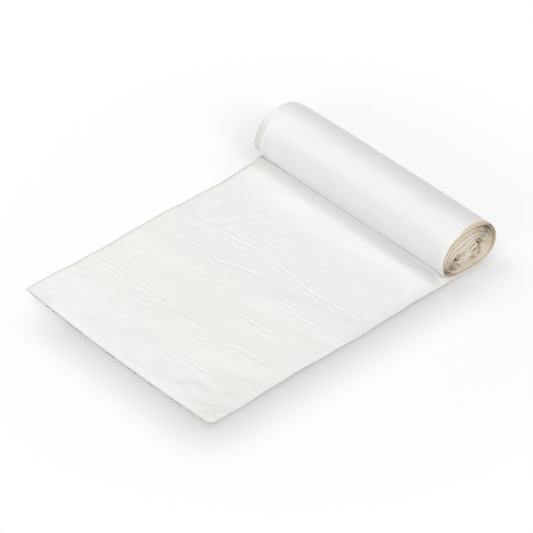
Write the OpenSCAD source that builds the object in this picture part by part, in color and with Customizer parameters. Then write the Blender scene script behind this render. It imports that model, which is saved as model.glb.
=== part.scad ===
// Bin bag roll: liners of thin film, folded to a narrow web, wound without a core, with a length drawn off.
// The whole web is one piece of film: a flat tail, then turn after turn to the crushed fold in the middle.
// Millimetres. X runs along the web with the torn end towards -X, Y along the roll's axis, and Z up.
// The origin is on the table under the middle of the roll.

/* [Web] */
// Width of the folded web, which is the length of the roll
web_w = 165; // [110:1:260]
// Length drawn off, from the roll's middle to the torn edge
tail_l = 207; // [90:1:500]
// Thickness that the pile of film layers in the web is drawn at
film_t = 1.0; // [0.6:0.1:1.6]
// How much further out the torn edge is at the near corner than at the far one
tear_skew = 2.5; // [0:0.5:6]
// Radius of the near corner of the torn edge
corner_r = 6; // [2:0.5:10]
// Pitch of the teeth that the perforation leaves
tooth_w = 2.8; // [2:0.1:5]
// Depth of those teeth
tooth_d = 1.1; // [0.4:0.1:2]

/* [Roll] */
// Width of the roll's squashed section
roll_w = 46.2; // [36:0.1:70]
// Height of that section
roll_h = 33.6; // [28:0.1:60]
// Width of the crushed core inside the innermost turn
core_w = 22.5; // [14:0.5:26]
// Height of that core
core_h = 8; // [6:0.5:12]
// How far the core has sunk below the middle of the section
core_drop = 1.6; // [0:0.1:2]
// Lean of the core from level, in degrees
core_lean = 11; // [0:1:16]
// Width of the flat that the roll rests on
foot_w = 11; // [4:1:16]
// Least gap between one turn and the next
turn_gap = 0.25; // [0.2:0.05:0.6]
// How far the outer turn stands off the rest where it is loose
loose_gap = 0.9; // [0:0.1:2]
// How much narrower the section is at the far end, as a share
far_taper = 0.02; // [0:0.005:0.04]

/* [Ends and creases] */
// How far the outer turn overhangs the inner ones at the far end
far_rim = 2.6; // [0:0.1:5]
// How unevenly the edges of the turns lie
edge_creep = 0.8; // [0:0.1:2]
// Height of the tallest crease across the tail
crease_h = 0.9; // [0:0.1:2]
// Half of a crease's width at its foot
crease_w = 4.5; // [3:0.5:8]
// Height of the broad swells, where air lies between the layers of the tail
swell_h = 1.2; // [0:0.1:3]
// How far in from the folded edges the swells and creases begin in full
edge_calm = 12; // [4:1:30]
// How far the creases wander to and fro
wander = 3; // [0:0.5:5]

/* [Fineness] */
// Facets round the outer turn
outer_steps = 48; // [24:4:56]
// Facets round each inner turn
inner_steps = 28; // [20:4:36]
// Spacing of the rows along the tail
row_gap = 2.1; // [1.8:0.1:4]

/* [Hidden] */

film_colour = [0.93, 0.93, 0.91];

// The winding angle starts at the foot, where the tail runs in under the roll
start_a = 270;
kink = 0.01;
nudge = 0.001;
turns = floor((min(roll_h - core_h, roll_w - core_w) / 2 - core_drop) / (film_t + turn_gap));
turn_end = start_a + 360;
roll_end = start_a + 360 * turns;

// How round the section is: 1 is a circle, less is more like a squashed slot
outer_round = 0.5;
core_round = 0.22;
core_aside = core_drop / 2;

// Across the web: whole strips, and a narrow one along each folded edge, which is thinner by a share
wide_strips = 10;
fold_strip = 0.9;
fold_thin = 0.45;
outer_strips = wide_strips + 2;
inner_strips = 2;

teeth = round(web_w / tooth_w);
tear_strips = 2 * teeth;

// Creases that run across the tail: place along it, start and end across it, and height, as shares
creases = [
    [0.26, -0.30, 0.46, 0.45],
    [0.39, -0.60, 0.60, 1.00],
    [0.50, -0.42, 0.36, 0.80],
    [0.61, -0.36, -0.10, 0.60],
    [0.73, -0.12, 0.46, 0.75],
    [0.80, -0.45, -0.08, 0.55],
    [0.89, -0.40, -0.22, 0.60],
    [0.96, -0.60, 0.60, 0.35],
];

function mix(a, b, u) = a + (b - a) * u;

function ramp(from, to, x) =
    let (u = max(0, min(1, (x - from) / (to - from))))
    u * u * (3 - 2 * u);

function bump(x, mid, half) =
    let (d = abs(x - mid) / half)
    d < 1 ? pow(cos(90 * d), 2) : 0;

// Depth into the roll at a winding angle, from 0 at the outer turn to 1 at the core
function depth(a) = (a - start_a) / (360 * turns);

// Reach of a slot of half length 1 whose sides bulge by a share of that
function oval(a, round) = sqrt(pow(cos(a), 2) + pow(round * sin(a), 2));

// Reach of a half disc with its flat side down, which gives a section a flat foot
function half_disc(a) = (sin(a) < 0 ? abs(cos(a)) : 1) - sin(a) / 2;

// The outer turn stands off at the upper right, where it swells a little between the ends, and lower left
function looseness(a, y) =
    loose_gap * (1 + 0.25 * sin(360 * y / web_w + 40)) * (
        1.1 * bump(a, start_a + 140, 75) + bump(a, start_a + 303, 55));

// Reach of the web's outer face from the middle of the roll, in the direction it faces
function reach(a, y) =
    let (
        u = depth(a),
        round = mix(outer_round, core_round, u),
        w = mix(roll_w, core_w, u),
        h = mix(roll_h, core_h, u),
        foot = mix(foot_w / 2, 0, u),
        slot = (w - h - foot) / (2 * (1 - round)),
        radius = (h - foot - 2 * slot * round) / 2
    )
    radius + slot * oval(a - core_lean * u, round) + foot * half_disc(a)
    - u * (core_aside * cos(a) + core_drop * sin(a))
    + (a < turn_end ? looseness(a, y) : 0);

roll_mid = reach(start_a + kink, 0);

// Point of the web at a winding angle, a depth below its outer face and a place across
function roll_point(a, under, y) =
    let (
        r = reach(a, y) - under,
        slope = (reach(a + nudge, y) - reach(a - nudge, y)) / (2 * nudge) * 180 / PI,
        size = 1 - far_taper * (0.5 + y / web_w)
    )
    [(r * cos(a) - slope * sin(a)) * size, y, (r * sin(a) + slope * cos(a) + roll_mid) * size];

// Edges of the web, which creep a little as it winds
function near_edge(a) =
    -web_w / 2 + edge_creep * ramp(start_a, turn_end, a) * (1 + sin(a * 0.43)) / 2;

function far_edge(a) =
    web_w / 2 - far_rim * ramp(turn_end - 60, turn_end + 60, a)
    - edge_creep * ramp(start_a, turn_end, a) * (1 + sin(a * 0.61)) / 2;

function tail_edge(s, side) =
    side * web_w / 2 + 0.7 * edge_creep * sin(360 * s / 97 + 70 * side) * ramp(0, roll_w, s);

// Places across the web: evenly spread whole strips between the two narrow folded edges
function across(near, far, strips, j) =
    strips == outer_strips
        ? (j == 0 ? near : j == strips ? far
            : mix(near + fold_strip, far - fold_strip, (j - 1) / wide_strips))
        : mix(near, far, j / strips);

function thin(strips, j) = strips == outer_strips && (j == 0 || j == strips) ? fold_thin / 2 : 0;

// Height of one crease at a distance along the tail from the roll's middle
function crease(c, s, y) =
    c[3] * bump(s, c[0] * tail_l, crease_w)
    * ramp((c[1] - 0.06) * web_w, (c[1] + 0.06) * web_w, y)
    * ramp((c[2] + 0.06) * web_w, (c[2] - 0.06) * web_w, y);

// Broad swells, which leave the pile flat between them
function swell(s, y) =
    0.7 * max(0, sin(360 * s / 118 + 250 * y / web_w)) * (0.6 + 0.4 * sin(200 * y / web_w - 30))
    + 0.3 * max(0, sin(360 * s / 53 - 210 * y / web_w + 60));

// What the air between the layers and the creases add to the top of the tail, away from its folded edges
function relief(s, y) =
    ramp(roll_w * 0.4, roll_w * 0.9, s)
    * ramp(0, edge_calm, web_w / 2 - abs(y))
    * (crease_h * max([for (c = creases) crease(c, s, y)]) + swell_h * swell(s, y));

// How far a row of points slides along the tail, so that rows and creases wander together
function tail_slide(s, y) =
    wander * ramp(roll_w / 2, roll_w, s) * ramp(tail_l, tail_l - roll_w, s)
    * (0.7 * sin(360 * y / 140 + 1.9 * s) + 0.3 * sin(360 * y / 58 + 3.3 * s));

function corner_cut(y) =
    let (d = max(0, corner_r - (y + web_w / 2)))
    corner_r - sqrt(max(0, corner_r * corner_r - d * d));

// Point of the tail at a height given as a share of the pile, from 0 on the table to 1 on its top
function tail_point(s, height, y) =
    [
        -s - tail_slide(s, y)
        + ramp(tail_l - 2 * roll_w, tail_l, s) * tear_skew * (0.5 + y / web_w)
        + ramp(tail_l - 3 * corner_r, tail_l, s) * corner_cut(y),
        y,
        height * film_t + (height > 0 ? relief(s, y) : 0)
    ];

// Each row of the web is a list of its outer points, then one of its inner points
tail_rows = ceil((tail_l + tooth_d) / row_gap);

function tear_row() =
    let (ys = [for (j = [0:tear_strips]) mix(tail_edge(tail_l, -1), tail_edge(tail_l, 1), j / tear_strips)])
    [
        for (height = [0, 1 - fold_thin])
            [for (j = [0:tear_strips]) tail_point(tail_l, height, ys[j]) + [j % 2 == 1 ? tooth_d : 0, 0, 0]]
    ];

function tail_row(i) =
    let (s = (tail_l - 2 * tooth_d) * (1 - i / tail_rows))
    [
        for (face = [0, 1])
            [
                for (j = [0:outer_strips])
                    let (y = across(tail_edge(s, -1), tail_edge(s, 1), outer_strips, j))
                    tail_point(s, face == 0 ? 0 : 1 - 2 * thin(outer_strips, j), y)
            ]
    ];

function turn_row(a, strips) =
    [
        for (face = [0, 1])
            [
                for (j = [0:strips])
                    let (y = across(near_edge(a), far_edge(a), strips, j))
                    roll_point(a, film_t * (face == 0 ? thin(strips, j) : 1 - thin(strips, j)), y)
            ]
    ];

// The innermost leg leaves the last turn and waves along the crushed core
leg_steps = 12;
leg_l = 0.72 * core_w;
leg_rise = core_h - 3 * film_t - 2 * turn_gap;

function leg_mid(u) =
    let (from = roll_point(roll_end - kink, film_t / 2, -web_w / 2))
    [
        from[0] + leg_l * u,
        from[2] + leg_l * u * ramp(0, 0.5, u) * tan(core_lean) + leg_rise * (1 - cos(300 * u)) / 2
    ];

function leg_row(i) =
    let (
        u = i / leg_steps,
        p = leg_mid(u),
        d = leg_mid(u + nudge) - leg_mid(u - nudge),
        n = [d[1], -d[0]] / norm(d),
        a = roll_end + 90 * u
    )
    [
        for (side = [0.5, -0.5])
            [
                for (j = [0:inner_strips])
                    let (
                        y = across(near_edge(a), far_edge(a), inner_strips, j),
                        size = 1 - far_taper * (0.5 + y / web_w)
                    )
                    [(p[0] + side * film_t * n[0]) * size, y, (p[1] + side * film_t * n[1]) * size]
            ]
    ];

function turn_rows(first, steps, strips) =
    [for (k = [0:steps]) turn_row(first + kink + (360 - 2 * kink) * k / steps, strips)];

web_rows = concat(
    [tear_row()],
    [for (i = [0:tail_rows - 1]) tail_row(i)],
    turn_rows(start_a, outer_steps, outer_strips),
    [for (t = [1:turns - 1]) each turn_rows(start_a + 360 * t, inner_steps, inner_strips)],
    [for (i = [1:leg_steps]) leg_row(i)]
);

// Triangles between two lines of points that may have different counts
function zip(a, m, b, n, i = 0, j = 0) =
    i == m && j == n ? []
    : j == n || (i < m && (i + 1) * n <= (j + 1) * m)
        ? concat([[a + i, a + i + 1, b + j]], zip(a, m, b, n, i + 1, j))
        : concat([[a + i, b + j + 1, b + j]], zip(a, m, b, n, i, j + 1));

function flip(faces) = [for (f = faces) [f[2], f[1], f[0]]];

function row_starts(rows) =
    [for (i = 0, at = 0; i < len(rows); at = at + 2 * len(rows[i][0]), i = i + 1) at];

function skin(rows) =
    let (starts = row_starts(rows))
    [
        for (i = [0:len(rows) - 2])
            let (m = len(rows[i][0]) - 1, n = len(rows[i + 1][0]) - 1, a = starts[i], b = starts[i + 1])
            each concat(
                zip(a, m, b, n),
                flip(zip(a + m + 1, m, b + n + 1, n)),
                [[a, b, b + n + 1], [a, b + n + 1, a + m + 1]],
                [[a + m, b + 2 * n + 1, b + n], [a + m, a + 2 * m + 1, b + 2 * n + 1]]
            )
    ];

function end_cap(at, m) =
    [
        for (j = [0:m - 1])
            each [[at + j, at + m + 1 + j, at + m + 2 + j], [at + j, at + m + 2 + j, at + j + 1]]
    ];

module bag_roll() {
    starts = row_starts(web_rows);
    last = len(web_rows) - 1;
    points = [for (row = web_rows) for (face = row) each face];
    faces = concat(
        skin(web_rows),
        end_cap(starts[0], tear_strips),
        flip(end_cap(starts[last], inner_strips))
    );
    color(film_colour)
        polyhedron(points = points, faces = faces, convexity = 20);
}

bag_roll();
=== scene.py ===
"""Bin bag roll: film liners folded to a narrow web and wound without a core, with a length drawn off.

The web is one closed skin: a flat tail, a full outer turn, and finer turns inwards to the crushed fold in
the middle. Its path is the part's own. Lengths are in millimetres up to the mesh itself.
"""

import math

import bpy
import numpy as np
from mathutils import Matrix


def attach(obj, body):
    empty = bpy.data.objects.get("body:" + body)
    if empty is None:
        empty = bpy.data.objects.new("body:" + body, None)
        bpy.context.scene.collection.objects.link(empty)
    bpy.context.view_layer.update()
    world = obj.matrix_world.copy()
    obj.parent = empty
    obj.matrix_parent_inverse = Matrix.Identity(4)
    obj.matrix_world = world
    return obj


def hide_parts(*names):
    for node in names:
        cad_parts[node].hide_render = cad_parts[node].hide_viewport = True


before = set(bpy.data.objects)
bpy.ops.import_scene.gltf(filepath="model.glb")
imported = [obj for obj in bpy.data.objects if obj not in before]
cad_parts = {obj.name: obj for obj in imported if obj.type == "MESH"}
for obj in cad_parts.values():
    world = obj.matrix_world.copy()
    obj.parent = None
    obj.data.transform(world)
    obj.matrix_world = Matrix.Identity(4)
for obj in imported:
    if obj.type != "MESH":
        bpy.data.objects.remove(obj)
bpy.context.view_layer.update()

MM = 0.001
rng = np.random.default_rng(7)

# The web and the roll's section, as in the part's source
WEB_W = 165.0
TAIL_L = 207.0
PILE_T = 1.0
TEAR_SKEW = 2.5
TOOTH_W = 2.8
ROLL_W, ROLL_H = 46.2, 33.6
CORE_W, CORE_H = 22.5, 8.0
CORE_DROP, CORE_LEAN = 1.6, 11.0
FOOT_W = 11.0
LOOSE_GAP = 0.9
FAR_TAPER = 0.02
FAR_RIM = 2.6
TURNS = 8
OUTER_ROUND, CORE_ROUND = 0.5, 0.22

# The tail's near corner and its swells, both smaller than in the part's source
CORNER_R = 3.5
SWELL_H = 0.7

# The finer turns inside the outer one, and the share of their room that the film fills. Winding angles grow
# inwards from START, where the web leaves the table. Rows keep KINK off each turn's start, where the foot's
# curve breaks, and slopes are taken over NUDGE
FINE_TURNS = 26
FILM_FILL = 0.82
START = 270.0
TURN_END = START + 360.0
WIND_END = TURN_END + 360.0 * FINE_TURNS
KINK = 0.01
NUDGE = 0.001

# Fineness: steps along the tail and round the turns, and places in from the edges and across the web
TAIL_STEP = 0.5
OUTER_STEPS = 110
FINE_STEPS = 64
EDGE_INSETS = [0.0, 0.3, 0.8, 1.5, 2.4]
CORNER_INSETS = [3.4, 4.5, 5.7, 7.0, 8.5, 10.2]
FOLDED_L, FOLDED_INSETS = 26.0, np.arange(2.8, 12.0, 0.45).tolist()
FINE_INSETS = [0.0, 0.16, 0.6, 2.4]
SHOWN_PLACES = 66
HIDDEN_PLACES = 8
FINE_PLACES = 1


def mix(a, b, u):
    return a + (b - a) * u


def ramp(lo, hi, x):
    u = np.clip((x - lo) / (hi - lo), 0.0, 1.0)
    return u * u * (3.0 - 2.0 * u)


def bump(x, mid, half):
    d = np.minimum(np.abs(x - mid) / half, 1.0)
    return np.cos(np.radians(90.0 * d)) ** 2


def sind(a):
    return np.sin(np.radians(a))


def cosd(a):
    return np.cos(np.radians(a))


# Slanted waves: the range of their pitches against the one asked for, of their heights and of their starts
WAVE_PITCHES, WAVE_HEIGHTS, WAVE_STARTS = (0.4, 1.6), (0.5, 1.0), (0.0, 6.28)


def waves(x, y, count, long_x, long_y, seed):
    """A sum of slanted sine waves, about -1 to 1, with the wave lengths given along x and y."""
    draw = np.random.default_rng(seed)
    total = np.zeros(np.broadcast(x, y).shape)
    for _ in range(count):
        pitch_x = draw.uniform(*WAVE_PITCHES) / long_x * draw.choice([-1.0, 1.0])
        pitch_y = draw.uniform(*WAVE_PITCHES) / long_y
        height = draw.uniform(*WAVE_HEIGHTS)
        total += height * np.sin(2.0 * math.pi * (x * pitch_x + y * pitch_y) + draw.uniform(*WAVE_STARTS))
    return total / math.sqrt(count)


# Section of the roll


def depth(a):
    """How far in a winding angle lies: one coarse turn outside, then the fine turns to 1 at the core."""
    outer = (a - START) / (360.0 * TURNS)
    inner = 1.0 / TURNS + (a - TURN_END) / (WIND_END - TURN_END) * (1.0 - 1.0 / TURNS)
    return np.where(a < TURN_END, outer, inner)


# Where the wound turns stand apart, at the upper right and at the lower left: the middle and half width of
# the gap, its height against the loose gap, the turns at which it opens, and the shares of that height from
# each of those turns on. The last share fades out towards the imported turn
LOOSE_PLACES = [
    (135.0, 105.0, 0.7, (0, 4, 7), (1.0, -0.45, -1.15)),
    (300.0, 60.0, 0.5, (0, 4, 6), (0.9, -0.1, -0.6)),
]
PACKED_AT = 22
GAP_SWELL, GAP_SWELL_START = 0.25, 40.0
GAP_ROUND = 0.75


def looseness(a, y):
    """How far the turns stand off their even places: the outer ones outwards and the rest inwards."""
    turn = np.floor((a - START) / 360.0)
    place = np.mod(a - START, 360.0)
    along = 1.0 + GAP_SWELL * sind(360.0 * y / WEB_W + GAP_SWELL_START)
    total = 0.0
    for middle, half, height, opens, shares in LOOSE_PLACES:
        packed = shares[2] * np.clip((PACKED_AT - turn) / (PACKED_AT - opens[2]), 0.0, 1.0)
        share = np.where(turn < opens[1], shares[0], np.where(turn < opens[2], shares[1], packed))
        total = total + height * share * bump(place, middle, half) ** GAP_ROUND
    return LOOSE_GAP * along * total


def plain_reach(a):
    """How far the roll's section reaches in a direction at a winding angle, before the loose gaps."""
    u = depth(a)
    bulge = mix(OUTER_ROUND, CORE_ROUND, u)
    w = mix(ROLL_W, CORE_W, u)
    h = mix(ROLL_H, CORE_H, u)
    foot = mix(FOOT_W / 2.0, 0.0, u)
    slot = (w - h - foot) / (2.0 * (1.0 - bulge))
    radius = (h - foot - 2.0 * slot * bulge) / 2.0
    lean = a - CORE_LEAN * u
    oval = np.sqrt(cosd(lean) ** 2 + (bulge * sind(lean)) ** 2)
    half_disc = np.where(sind(a) < 0.0, np.abs(cosd(a)), 1.0) - sind(a) / 2.0
    sunk = u * (CORE_DROP / 2.0 * cosd(a) + CORE_DROP * sind(a))
    return radius + slot * oval + foot * half_disc - sunk


def reach(a, y):
    return plain_reach(a) + looseness(a, y)


ROLL_MID = float(reach(np.float64(START + KINK), 0.0))


def web_thickness(a):
    """The outer turn is the whole pile, and the fine turns fill most of the room that they have."""
    room = plain_reach(a) - plain_reach(a + 360.0)
    return np.where(a < TURN_END, np.minimum(PILE_T, FILM_FILL * room), FILM_FILL * room)


def roll_points(a, y, under):
    """Places on the winding at a depth under its outer face, in the frame of the part."""
    r = reach(a, y) - under
    slope = (reach(a + NUDGE, y) - reach(a - NUDGE, y)) / math.radians(2.0 * NUDGE)
    size = 1.0 - FAR_TAPER * (0.5 + y / WEB_W)
    x = (r * cosd(a) - slope * sind(a)) * size
    z = (r * sind(a) + slope * cosd(a) + ROLL_MID) * size
    return x, z


# The crushed core: a smooth push, so that turns that lie inside each other stay so. A dent is its height,
# its middle and its half width, and a ripple is its height, its pitch and its start
CRUSH_AT, CRUSH_HALF = (-1.0, 15.5), (17.0, 10.0)
CRUSH_WHOLE = 0.3
CRUSH_DENTS = [(1.6, 5.0, 4.0), (-1.1, -4.0, 5.0)]
CRUSH_SINK = 0.9
TOP_DENT, TOP_DENT_FROM = (-1.8, -3.5, 4.5), (10.0, 17.0)
CRUSH_RIPPLES = [(0.18, 1.1, 0.8), (0.13, 2.3, 2.0)]


def dent(x, height, middle, half):
    return height * np.exp(-(((x - middle) / half) ** 2))


def crush(points):
    x, y, z = points.T
    out = np.hypot((x - CRUSH_AT[0]) / CRUSH_HALF[0], (z - CRUSH_AT[1]) / CRUSH_HALF[1])
    share = ramp(1.0, CRUSH_WHOLE, out)
    push = sum(dent(x, *one) for one in CRUSH_DENTS) - CRUSH_SINK
    push = push + dent(x, *TOP_DENT) * ramp(*TOP_DENT_FROM, z)
    ripple = sum(height * np.sin(pitch * x + start) for height, pitch, start in CRUSH_RIPPLES)
    return np.stack([x, y, z + share * (push + ripple)], 1)


# The crumpled film inside the crushed core, as the roll's end shows it: x, height above the table, thickness
LEG = [
    (5.6, 10.7, 0.4), (8.6, 11.6, 0.5), (10.6, 13.4, 0.5), (10.6, 15.2, 0.5), (9.4, 15.1, 0.5),
    (8.6, 13.2, 0.5), (6.4, 12.0, 0.8), (3.0, 11.2, 1.0), (-0.8, 10.5, 1.0), (-4.6, 9.8, 0.8),
    (-8.0, 9.3, 0.6), (-10.3, 9.9, 0.5), (-10.8, 11.0, 0.5), (-9.4, 11.5, 0.6), (-6.4, 11.0, 0.8),
    (-3.4, 11.3, 1.1), (-0.4, 12.0, 1.3), (2.8, 13.4, 1.5), (5.4, 15.0, 1.2), (7.2, 16.4, 0.6),
    (7.0, 17.6, 0.5), (5.2, 17.2, 0.6), (3.4, 15.9, 0.6), (1.4, 14.3, 0.6), (-1.4, 13.0, 0.6),
    (-4.6, 12.6, 0.6), (-7.6, 12.8, 0.6), (-9.3, 13.6, 0.5), (-8.6, 14.7, 0.5), (-6.4, 14.5, 0.7),
    (-3.4, 14.0, 0.9), (-1.0, 14.8, 1.0), (0.8, 16.6, 1.1), (3.2, 18.9, 1.1), (5.6, 19.6, 0.8),
    (7.8, 18.7, 0.5), (9.9, 17.1, 0.4), (11.2, 16.1, 0.4),
]
LEG_STEPS = 5


def smooth_line(points, steps):
    """A smooth Catmull-Rom curve through the points, with as many steps between each two."""
    p = np.array([2 * np.array(points[0]) - points[1], *points, 2 * np.array(points[-1]) - points[-2]])
    out = []
    for i in range(1, len(p) - 2):
        for t in np.arange(steps) / steps:
            bend = 2 * p[i - 1] - 5 * p[i] + 4 * p[i + 1] - p[i + 2]
            twist = 3 * p[i] - p[i - 1] - 3 * p[i + 1] + p[i + 2]
            out.append(0.5 * (2 * p[i] + (p[i + 1] - p[i - 1]) * t + bend * t**2 + twist * t**3))
    out.append(p[-2])
    return np.array(out)


# Tail

# Creases in the tail: depth and half width of the groove, or of a fold that stands up where the depth is
# below 0, then points that it runs through
CREASES = [
    (0.30, 0.8, [(-95, 57), (-91, 50), (-87, 47), (-85, 43), (-84, 36), (-82.5, 29), (-81, 21),
        (-80, 12)]),
    (0.26, 0.8, [(-84.5, 70), (-84.5, 63), (-83.4, 57), (-82, 52)]),
    (0.20, 0.7, [(-81, 82), (-81.5, 60), (-80, 50), (-79, 34), (-77, 22), (-75.8, 12), (-75.6, 4),
        (-74, -4)]),
    (0.26, 0.8, [(-80, 9), (-81.4, -3), (-82, -11), (-80.5, -22)]),
    (0.28, 0.8, [(-86, -12), (-84.2, -25), (-83.5, -40), (-82.6, -52), (-81.6, -63), (-80.5, -76)]),
    (0.18, 0.7, [(-79, -18), (-80, -34), (-79, -52)]),
    (0.32, 0.9, [(-105.6, 36), (-104, 22), (-100.5, 15), (-98.5, 6), (-96, 0), (-89, -7)]),
    (0.14, 0.9, [(-97, 14), (-94, 9), (-90, 4)]),
    (0.16, 0.7, [(-106, 56), (-104.5, 45), (-103, 35)]),
    (0.24, 0.8, [(-107.5, -16), (-105, -30), (-103, -43)]),
    (0.22, 0.7, [(-102.4, -26), (-100, -38), (-98, -47)]),
    (0.24, 0.8, [(-108, -36), (-106, -50), (-104.5, -56), (-103, -70)]),
    (0.28, 0.8, [(-130, -17), (-128.4, -30), (-128.2, -39), (-127.4, -47), (-125.8, -53), (-119, -62)]),
    (0.14, 0.7, [(-136, -29), (-134, -38), (-132, -46)]),
    (0.20, 0.7, [(-154, 82), (-153.6, 70), (-152.4, 58), (-151.4, 47)]),
    (0.24, 0.7, [(-157, 64), (-155, 52), (-153.7, 44), (-153.2, 36), (-151.8, 29), (-150.4, 22)]),
    (0.22, 0.7, [(-158, 56), (-156, 47), (-154.6, 40), (-153.9, 32), (-153.4, 24), (-150.8, 18),
        (-145, 11), (-141, 5)]),
    (0.30, 0.9, [(-164, 35), (-161, 28), (-158.5, 22), (-156, 16), (-154, 8)]),
    (0.14, 0.8, [(-154.6, 6), (-153, -6), (-151, -20)]),
    (0.30, 0.8, [(-170.5, -13), (-166.2, -21), (-164.6, -26), (-162, -32), (-159, -38), (-154, -44)]),
    (0.26, 0.8, [(-164.6, -14), (-162.2, -21), (-160.5, -28), (-157.5, -35), (-151.3, -41),
        (-149.6, -52), (-146, -65)]),
    (0.22, 0.7, [(-152.4, -44), (-150.5, -55), (-149, -64), (-147.4, -74)]),
    (0.22, 0.8, [(-186, -4), (-183, -16), (-183.4, -23), (-185, -32)]),
    (0.26, 0.7, [(-180.3, -26), (-179.8, -36), (-179.2, -43), (-178.7, -52)]),
    (0.14, 0.9, [(-191.4, 45), (-194.4, 32), (-196.6, 21)]),
    (0.40, 3.0, [(-200, -31), (-193.5, -42), (-189, -45), (-186.4, -50), (-186, -58), (-187.4, -68)]),
    (0.34, 2.6, [(-190, -65), (-181, -68), (-173, -75)]),
    (0.38, 1.7, [(-109, 70), (-100, 63), (-93, 59), (-86, 55), (-73, 48), (-66, 45), (-58, 40),
        (-51, 36), (-39, 30)]),
    (0.36, 1.7, [(-81, 64), (-70, 65), (-64, 63.8), (-50, 62.4)]),
    (0.40, 1.9, [(-190, 84), (-196, 75), (-204, 69)]),
    (-0.60, 0.8, [(-210, -75.5), (-203, -76.8), (-196, -79.2), (-188, -80.8)]),
    (-0.48, 0.7, [(-207, -72), (-200, -74), (-193, -77), (-188, -79.6)]),
    (-0.36, 0.7, [(-201, -70.5), (-195, -73), (-190, -77.4)]),
    (0.30, 0.7, [(-169, -81), (-166.5, -78), (-164, -75.5)]),
]

# How much deeper and wider than listed the creases are made, the shoulders beside a groove against its depth
# and half width, and the share of its length over which each end fades
CREASE_GAIN, CREASE_SPREAD = 1.3, 1.3
SHOULDER_H, SHOULDER_SPREAD = 0.55, 2.4
CREASE_FADE = 0.3

# Patches of fine parallel wrinkles: middle, half length along and across them, heading, wave length, height
WRINKLES = [
    ((-156, -62), (15, 8), -54, 2.3, 0.07),
    ((-154, 46), (15, 4), -80, 2.0, 0.06),
    ((-133, -66), (12, 7), -66, 2.4, 0.04),
    ((-106, -62), (12, 7), -78, 2.2, 0.05),
    ((-128, 36), (12, 3), -58, 2.0, 0.05),
    ((-57, -76), (9, 13), -62, 2.4, 0.08),
    ((-83, -30), (40, 6), -88, 2.6, 0.05),
    ((-86, 52), (16, 6), -74, 2.4, 0.05),
]
# How far the wrinkles drift in waves of their own length, and the waves that they drift in
WRINKLE_DRIFT, DRIFT_WAVES = 0.8, (4, 30.0, 30.0, 17)


def groove(x, y, depth_in, half, points):
    """A sharp groove between two low shoulders, along a line through the points, fading at its ends."""
    best = np.full(x.shape, 1e9)
    along = np.zeros(x.shape)
    start = 0.0
    for (px, py), (qx, qy) in zip(points, points[1:]):
        span = math.dist((px, py), (qx, qy))
        ux, uy = (qx - px) / span, (qy - py) / span
        t = np.clip((x - px) * ux + (y - py) * uy, 0.0, span)
        away = np.hypot(x - px - ux * t, y - py - uy * t)
        along = np.where(away < best, start + t, along)
        best = np.minimum(best, away)
        start += span
    fade = ramp(0.0, CREASE_FADE * start, along) * ramp(start, (1.0 - CREASE_FADE) * start, along)
    shoulders = SHOULDER_H * np.exp(-((best / (SHOULDER_SPREAD * half)) ** 2))
    return depth_in * fade * (shoulders - np.exp(-((best / half) ** 2)))


def wrinkle_patch(x, y, middle, halves, heading, wave_l, height):
    ahead = (x - middle[0]) * cosd(heading) + (y - middle[1]) * sind(heading)
    aside = (y - middle[1]) * cosd(heading) - (x - middle[0]) * sind(heading)
    inside = np.exp(-((ahead / halves[0]) ** 2) - (aside / halves[1]) ** 2)
    drift = WRINKLE_DRIFT * waves(x, y, *DRIFT_WAVES)
    return height * inside * np.sin(2.0 * math.pi * (aside / wave_l + drift))


# Broad swells of the tail, with the part's waves: share, wave length along it, slant across it and start.
# The long one is broken across by a wave of its own
LONG_SWELL = (0.7, 118.0, 250.0, 0.0)
SHORT_SWELL = (0.3, 53.0, -210.0, 60.0)
SWELL_BREAK, BREAK_SLANT, BREAK_START = 0.4, 200.0, -30.0


def one_swell(s, y, share, wave_l, slant, start):
    return share * np.maximum(0.0, sind(360.0 * s / wave_l + slant * y / WEB_W + start))


def swell(s, y):
    across = 1.0 - SWELL_BREAK + SWELL_BREAK * sind(BREAK_SLANT * y / WEB_W + BREAK_START)
    return one_swell(s, y, *LONG_SWELL) * across + one_swell(s, y, *SHORT_SWELL)


# The tail rises before the roll and climbs its flank a little: where the rise starts and ends and its height,
# the same of the climb, and the room left under the roll, whose flank is this many degrees long
RISE_FROM, RISE_END, RISE_H = -54.0, -17.0, 2.0
CLIMB_FROM, CLIMB_END, CLIMB_H = -25.0, -18.0, 1.7
NIP_ROOM = 0.3
FLANK_ANGLE = 80.0
# The share of the rise at the near and the far edge, and where it starts to grow from there and is whole
RISE_SIDES = [(0.3, -80.0, -68.0), (0.75, 82.0, 68.0)]


def underside(x):
    """Height of the roll's lower left flank over places along the tail."""
    a = np.arange(TURN_END - FLANK_ANGLE, TURN_END - 1.0)
    flank_x, flank_z = roll_points(a, 0.0, 0.0)
    return np.where(x < flank_x[0], ROLL_H, np.interp(x, flank_x, flank_z))


def rise(x, y):
    """How far the top of the tail stands up where the film goes under the roll, less so at its two edges."""
    up = RISE_H * np.clip((x - RISE_FROM) / (RISE_END - RISE_FROM), 0.0, 1.0) ** 2
    up = up + CLIMB_H * ramp(CLIMB_FROM, CLIMB_END, x)
    for least, edge, whole in RISE_SIDES:
        up = up * mix(least, 1.0, ramp(edge, whole, y))
    return np.minimum(up, np.maximum(0.0, underside(x) - NIP_ROOM - PILE_T))


# Soft unevenness of the tail: height, number of waves, their lengths along and across it, and the seed
CRUMPLES = [
    (0.035, 14, 13.0, 30.0, 12),
    (0.012, 16, 4.0, 9.0, 13),
    (0.06, 10, 22.0, 40.0, 33),
    (0.13, 8, 48.0, 80.0, 34),
]
# How far the creases stray from their lines, and the waves in which they stray along and across the tail
STRAY, STRAY_WAVES, STRAY_SEEDS = 0.5, (5, 26.0, 20.0), (31, 32)


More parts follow.
